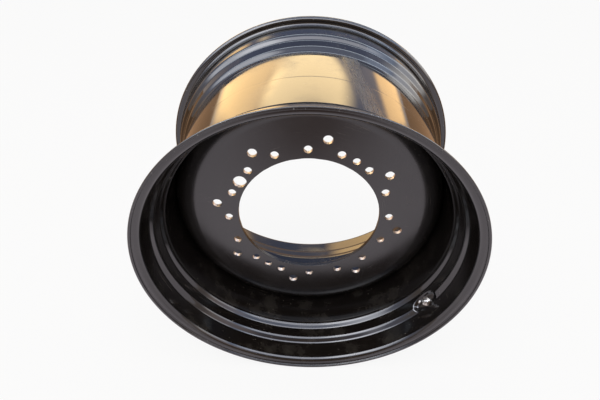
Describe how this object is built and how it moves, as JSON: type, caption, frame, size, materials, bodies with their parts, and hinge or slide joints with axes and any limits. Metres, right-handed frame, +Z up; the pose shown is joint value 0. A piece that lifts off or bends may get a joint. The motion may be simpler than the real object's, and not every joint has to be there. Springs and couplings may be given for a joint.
{
  "type": "tractor wheel",
  "caption": "Wide steel tractor wheel with a rolled drop-centre rim, a pressed and drilled disc welded inside it and a tyre valve in a dimple of the rim.",
  "frame": {"origin": "centre of the hub bore on the inboard face of the disc, where the hub's flange bears", "axes": "+Y along the spin axis towards the vehicle, +Z up, the outboard side with the valve faces -Y"},
  "size_m": [1.1176, 0.667, 1.1175],
  "materials": {
    "black_paint": "gloss",
    "valve_metal": "bright plated",
    "valve_rubber": "matte"
  },
  "bodies": {
    "root": {"rim": "black_paint", "wheel_disc": "black_paint", "disc_weld": "black_paint", "valve_stem": "valve_metal", "valve_seal": "valve_rubber", "valve_washer": "valve_metal", "valve_nut": "valve_metal", "valve_core": "valve_metal", "valve_cap": "valve_metal"}
  },
  "joints": []
}
